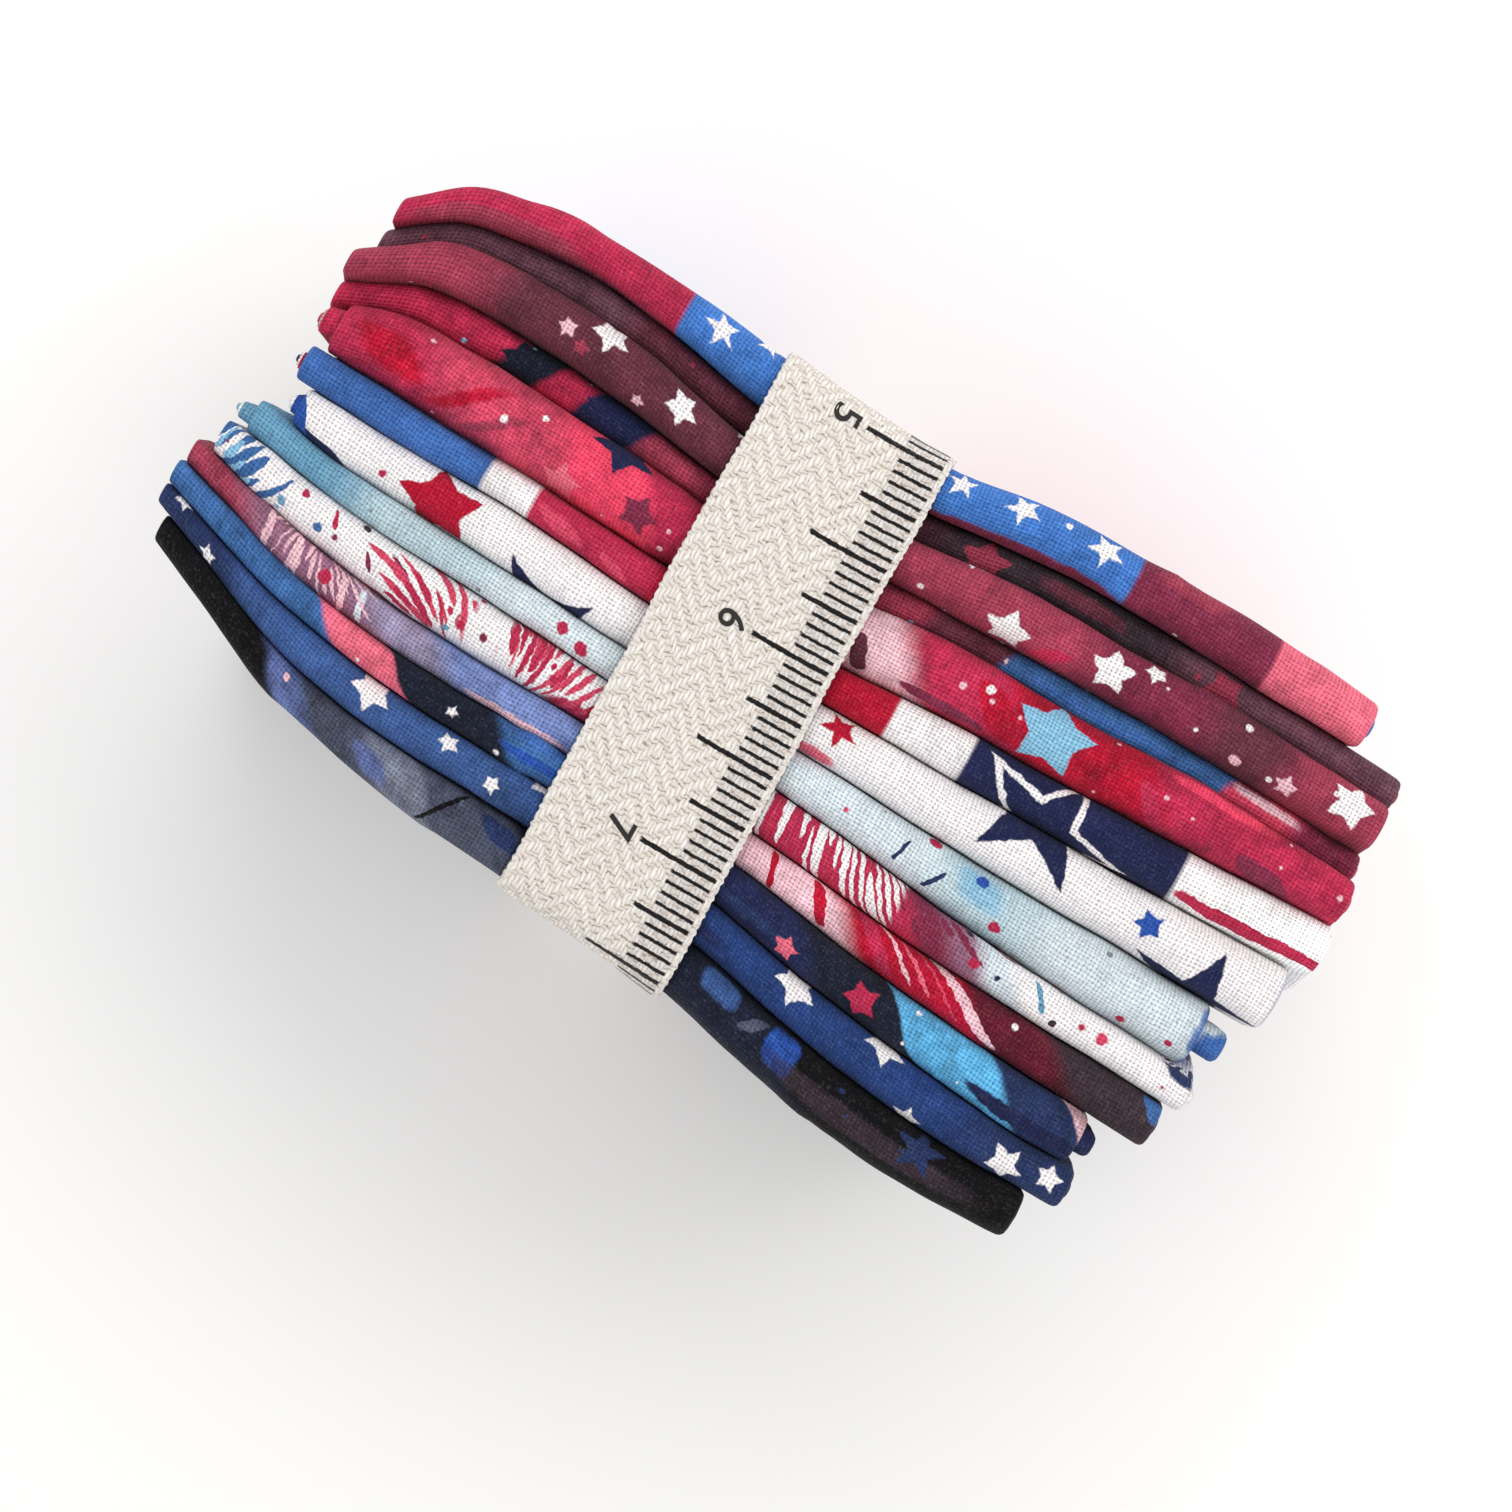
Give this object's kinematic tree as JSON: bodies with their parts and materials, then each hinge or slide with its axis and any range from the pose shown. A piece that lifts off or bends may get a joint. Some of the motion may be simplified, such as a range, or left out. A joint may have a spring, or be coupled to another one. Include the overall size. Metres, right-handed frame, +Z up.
{
  "type": "fat quarter bundle",
  "caption": "Stack of folded quilting cottons standing on their open edges, held by one wide printed cotton tape.",
  "frame": {"origin": "middle of the bundle's box, on the surface it stands on", "axes": "+Z up towards the folds, +X along the folds to the right as the numbers on the tape run down, +Y towards the back of the stack"},
  "size_m": [0.1344, 0.0746, 0.1137],
  "materials": {
    "quarter_01": "printed woven cotton",
    "quarter_02": "printed woven cotton",
    "quarter_03": "printed woven cotton",
    "quarter_04": "printed woven cotton",
    "quarter_05": "printed woven cotton",
    "quarter_06": "printed woven cotton",
    "quarter_07": "printed woven cotton",
    "quarter_08": "printed woven cotton",
    "quarter_09": "printed woven cotton",
    "quarter_10": "printed woven cotton",
    "quarter_11": "printed woven cotton",
    "quarter_12": "printed woven cotton",
    "quarter_13": "printed woven cotton",
    "ruler_tape": "natural cotton twill tape with printed ticks"
  },
  "bodies": {
    "root": {"quarter_01": "quarter_01", "quarter_02": "quarter_02", "quarter_03": "quarter_03", "quarter_04": "quarter_04", "quarter_05": "quarter_05", "quarter_06": "quarter_06", "quarter_07": "quarter_07", "quarter_08": "quarter_08", "quarter_09": "quarter_09", "quarter_10": "quarter_10", "quarter_11": "quarter_11", "quarter_12": "quarter_12", "quarter_13": "quarter_13", "ruler_tape": "ruler_tape"}
  },
  "joints": []
}
